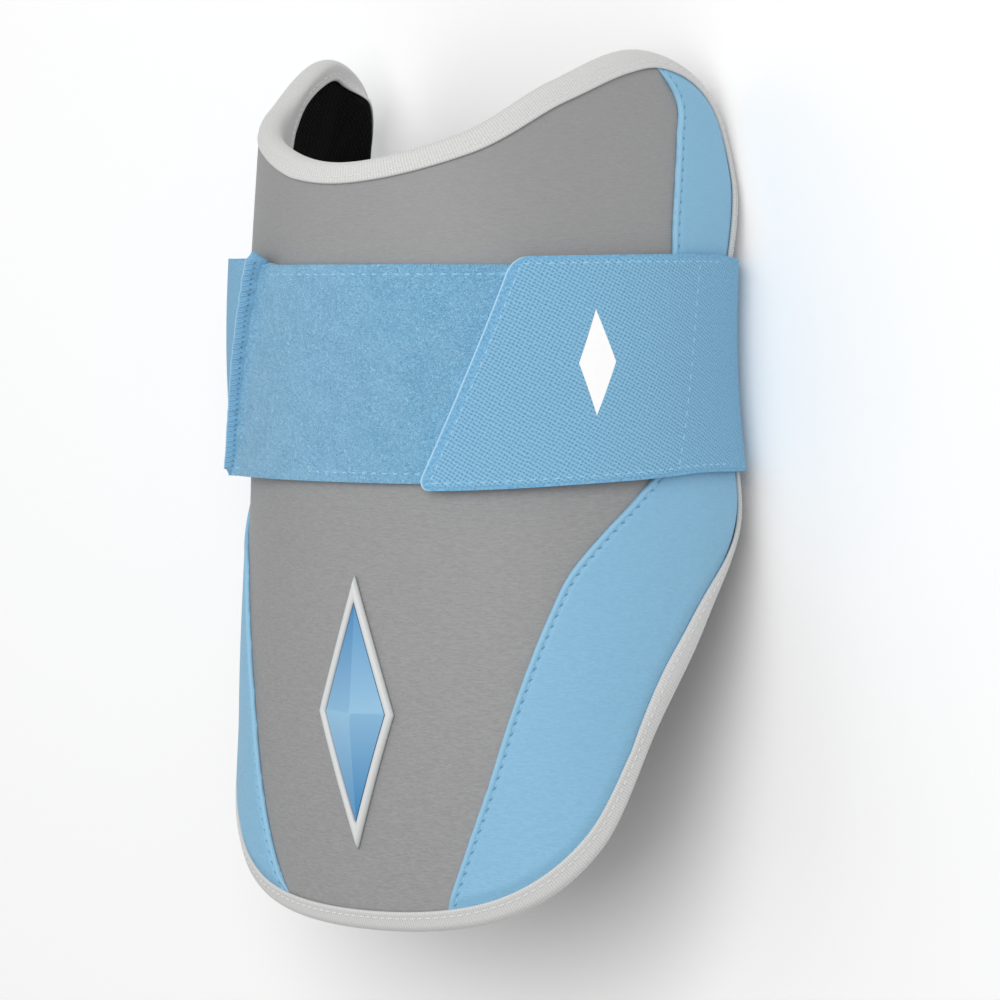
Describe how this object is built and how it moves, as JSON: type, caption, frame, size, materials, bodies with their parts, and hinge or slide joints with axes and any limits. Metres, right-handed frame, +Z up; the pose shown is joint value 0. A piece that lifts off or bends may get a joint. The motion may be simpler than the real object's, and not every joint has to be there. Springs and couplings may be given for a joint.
{
  "type": "elbow guard",
  "caption": "Curved padded elbow guard with ears at the upper arm, a long tongue over the forearm, leather side panels, a taped edge and a wide elastic strap closed on a loop panel.",
  "frame": {"origin": "on the floor, below the middle of the guard as it lies front up on the back run of its strap", "axes": "+X across the arm, towards the side that the strap's free end comes from; +Y along the arm, from the forearm tongue to the ears at the upper arm; +Z up, out of the front of the guard"},
  "size_m": [0.151, 0.2382, 0.0993],
  "materials": {
    "front_leather": "grey synthetic leather with a fine grain, matt to satin",
    "knit_lining": "black knitted lining, dull",
    "edge_tape": "pale grey ribbed tape, dull",
    "side_leather": "light blue synthetic leather with a fine grain, satin",
    "elastic": "light blue woven elastic, dull",
    "loop_fabric": "light blue brushed loop fabric, dull",
    "seam_thread": "blue overlock thread, dull",
    "emblem_rim": "pale grey moulded rubber-like plastic, matt",
    "emblem_face": "blue moulded plastic, satin"
  },
  "bodies": {
    "root": {"padded_shell": "front_leather", "lining": "knit_lining", "edge_tape": "edge_tape", "side_panel_right": "side_leather", "side_panel_left": "side_leather", "elastic_strap": "elastic", "loop_panel": "loop_fabric", "strap_seam": "seam_thread", "emblem_rim": "emblem_rim", "emblem_face": "emblem_face"}
  },
  "joints": []
}
